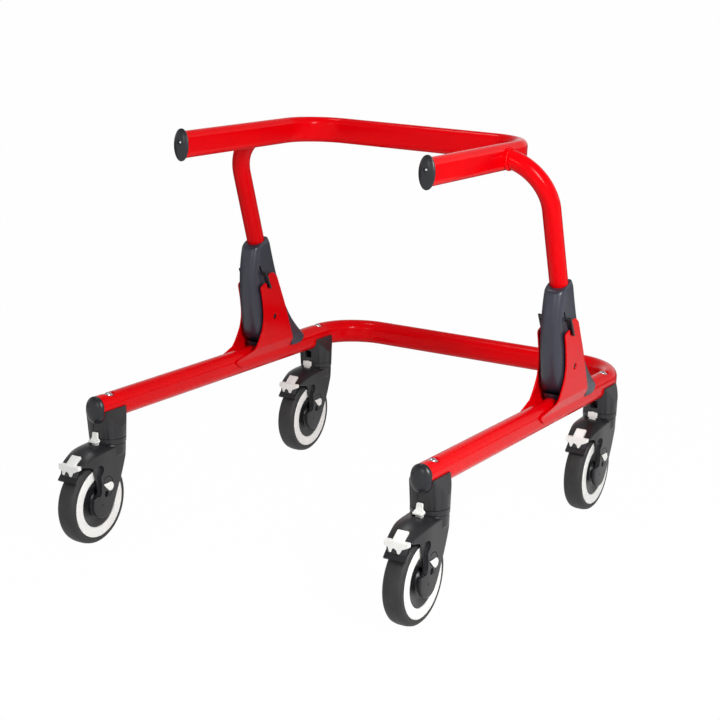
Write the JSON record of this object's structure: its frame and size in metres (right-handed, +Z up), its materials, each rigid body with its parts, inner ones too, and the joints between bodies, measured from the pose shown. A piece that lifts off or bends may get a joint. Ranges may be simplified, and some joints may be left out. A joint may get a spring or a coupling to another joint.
{
  "type": "posterior gait trainer",
  "caption": "Wheeled walking frame with a U-shaped base rail on braked swivel casters and two folding legs that carry a height-adjustable U-shaped handlebar round the user",
  "frame": {"origin": "on the floor under the middle of the overall bounding box", "axes": "+Y towards the rear crossbar behind the user, -Y the open front, +X the user's left hand side when facing -Y, +Z up"},
  "size_m": [0.5834, 0.7828, 0.5975],
  "materials": {
    "red_paint": "glossy powder coat",
    "grey_plastic": "satin moulded",
    "black_plastic": "satin moulded",
    "white_plastic": "smooth moulded",
    "black_rubber": "matt rubber",
    "zinc": "bright zinc plated",
    "black_steel": "black oxide"
  },
  "bodies": {
    "base": {"base_frame": "red_paint", "base_cap_left": "grey_plastic", "leg_seat_left": "grey_plastic", "pivot_bolt_left": "zinc", "side_plate_left_inner": "red_paint", "side_plate_left_outer": "red_paint", "base_cap_right": "grey_plastic", "leg_seat_right": "grey_plastic", "pivot_bolt_right": "zinc", "side_plate_right_inner": "red_paint", "side_plate_right_outer": "red_paint", "caster_housing_front_left": "black_plastic", "caster_bolt_front_left": "zinc", "caster_housing_front_right": "black_plastic", "caster_bolt_front_right": "zinc", "caster_housing_rear_left": "black_plastic", "caster_bolt_rear_left": "zinc", "caster_housing_rear_right": "black_plastic", "caster_bolt_rear_right": "zinc"},
    "legs": {"leg_housing_left": "grey_plastic", "leg_housing_right": "grey_plastic", "clamp_screw_left": "black_steel", "clamp_screw_right": "black_steel"},
    "handle": {"handle_frame": "red_paint", "handle_cap_left": "grey_plastic", "handle_cap_right": "grey_plastic"},
    "catch_left": {"leg_catch_left": "black_plastic"},
    "catch_right": {"leg_catch_right": "black_plastic"},
    "swivel_front_left": {"fork_front_left": "black_plastic", "axle_front_left": "zinc"},
    "wheel_front_left": {"tyre_front_left": "black_rubber", "wheel_rim_front_left": "white_plastic", "wheel_hub_front_left": "grey_plastic"},
    "pedal_front_left": {"brake_pedal_front_left": "white_plastic"},
    "tab_front_left": {"lock_tab_front_left": "white_plastic"},
    "lever_front_left": {"selector_front_left": "white_plastic"},
    "swivel_front_right": {"fork_front_right": "black_plastic", "axle_front_right": "zinc"},
    "wheel_front_right": {"tyre_front_right": "black_rubber", "wheel_rim_front_right": "white_plastic", "wheel_hub_front_right": "grey_plastic"},
    "pedal_front_right": {"brake_pedal_front_right": "white_plastic"},
    "tab_front_right": {"lock_tab_front_right": "white_plastic"},
    "lever_front_right": {"selector_front_right": "white_plastic"},
    "swivel_rear_left": {"fork_rear_left": "black_plastic", "axle_rear_left": "zinc"},
    "wheel_rear_left": {"tyre_rear_left": "black_rubber", "wheel_rim_rear_left": "white_plastic", "wheel_hub_rear_left": "grey_plastic"},
    "pedal_rear_left": {"brake_pedal_rear_left": "white_plastic"},
    "tab_rear_left": {"lock_tab_rear_left": "white_plastic"},
    "lever_rear_left": {"selector_rear_left": "white_plastic"},
    "swivel_rear_right": {"fork_rear_right": "black_plastic", "axle_rear_right": "zinc"},
    "wheel_rear_right": {"tyre_rear_right": "black_rubber", "wheel_rim_rear_right": "white_plastic", "wheel_hub_rear_right": "grey_plastic"},
    "pedal_rear_right": {"brake_pedal_rear_right": "white_plastic"},
    "tab_rear_right": {"lock_tab_rear_right": "white_plastic"},
    "lever_rear_right": {"selector_rear_right": "white_plastic"}
  },
  "joints": [
    {"name": "fold", "type": "hinge", "parent": "base", "child": "legs", "pos_m": [0, 0.1167, 0.2626], "axis": [1, 0, 0], "range_deg": [0, 65]},
    {"name": "height", "type": "slide", "parent": "legs", "child": "handle", "axis": [0, -0.3616, 0.9323], "range_m": [-0.09, 0.025]},
    {"name": "catch_left", "type": "slide", "parent": "legs", "child": "catch_left", "axis": [0, -0.4924, 0.8704], "range_m": [0, 0.011], "stiffness_N_per_m": 300, "springref_m": -0.01},
    {"name": "catch_right", "type": "slide", "parent": "legs", "child": "catch_right", "axis": [0, -0.4924, 0.8704], "range_m": [0, 0.011], "stiffness_N_per_m": 300, "springref_m": -0.01},
    {"name": "swivel_front_left", "type": "hinge", "parent": "base", "child": "swivel_front_left", "pos_m": [-0.265, -0.2911, 0.14], "axis": [0, 0, 1], "continuous": true},
    {"name": "spin_front_left", "type": "hinge", "parent": "swivel_front_left", "child": "wheel_front_left", "pos_m": [-0.265, -0.3289, 0.0625], "axis": [1, 0, 0], "continuous": true},
    {"name": "brake_front_left", "type": "hinge", "parent": "swivel_front_left", "child": "pedal_front_left", "pos_m": [-0.265, -0.3651, 0.1267], "axis": [1, 0, 0], "range_deg": [0, 5]},
    {"name": "lock_front_left", "type": "slide", "parent": "swivel_front_left", "child": "tab_front_left", "axis": [0, 0, 1], "range_m": [-0.006, 0]},
    {"name": "select_front_left", "type": "hinge", "parent": "swivel_front_left", "child": "lever_front_left", "pos_m": [-0.2407, -0.3166, 0.086], "axis": [1, 0, 0], "range_deg": [0, 60]},
    {"name": "swivel_front_right", "type": "hinge", "parent": "base", "child": "swivel_front_right", "pos_m": [0.265, -0.2911, 0.14], "axis": [0, 0, 1], "continuous": true},
    {"name": "spin_front_right", "type": "hinge", "parent": "swivel_front_right", "child": "wheel_front_right", "pos_m": [0.265, -0.3289, 0.0625], "axis": [1, 0, 0], "continuous": true},
    {"name": "brake_front_right", "type": "hinge", "parent": "swivel_front_right", "child": "pedal_front_right", "pos_m": [0.265, -0.3651, 0.1267], "axis": [1, 0, 0], "range_deg": [0, 5]},
    {"name": "lock_front_right", "type": "slide", "parent": "swivel_front_right", "child": "tab_front_right", "axis": [0, 0, 1], "range_m": [-0.006, 0]},
    {"name": "select_front_right", "type": "hinge", "parent": "swivel_front_right", "child": "lever_front_right", "pos_m": [0.2893, -0.3166, 0.086], "axis": [1, 0, 0], "range_deg": [0, 60]},
    {"name": "swivel_rear_left", "type": "hinge", "parent": "base", "child": "swivel_rear_left", "pos_m": [-0.265, 0.2889, 0.14], "axis": [0, 0, 1], "continuous": true},
    {"name": "spin_rear_left", "type": "hinge", "parent": "swivel_rear_left", "child": "wheel_rear_left", "pos_m": [-0.265, 0.2511, 0.0625], "axis": [1, 0, 0], "continuous": true},
    {"name": "brake_rear_left", "type": "hinge", "parent": "swivel_rear_left", "child": "pedal_rear_left", "pos_m": [-0.265, 0.2149, 0.1267], "axis": [1, 0, 0], "range_deg": [0, 5]},
    {"name": "lock_rear_left", "type": "slide", "parent": "swivel_rear_left", "child": "tab_rear_left", "axis": [0, 0, 1], "range_m": [0, 0.006]},
    {"name": "select_rear_left", "type": "hinge", "parent": "swivel_rear_left", "child": "lever_rear_left", "pos_m": [-0.2407, 0.2634, 0.086], "axis": [1, 0, 0], "range_deg": [0, 60]},
    {"name": "swivel_rear_right", "type": "hinge", "parent": "base", "child": "swivel_rear_right", "pos_m": [0.265, 0.2889, 0.14], "axis": [0, 0, 1], "continuous": true},
    {"name": "spin_rear_right", "type": "hinge", "parent": "swivel_rear_right", "child": "wheel_rear_right", "pos_m": [0.265, 0.2511, 0.0625], "axis": [1, 0, 0], "continuous": true},
    {"name": "brake_rear_right", "type": "hinge", "parent": "swivel_rear_right", "child": "pedal_rear_right", "pos_m": [0.265, 0.2149, 0.1267], "axis": [1, 0, 0], "range_deg": [0, 5]},
    {"name": "lock_rear_right", "type": "slide", "parent": "swivel_rear_right", "child": "tab_rear_right", "axis": [0, 0, 1], "range_m": [0, 0.006]},
    {"name": "select_rear_right", "type": "hinge", "parent": "swivel_rear_right", "child": "lever_rear_right", "pos_m": [0.2893, 0.2634, 0.086], "axis": [1, 0, 0], "range_deg": [0, 60]}
  ]
}
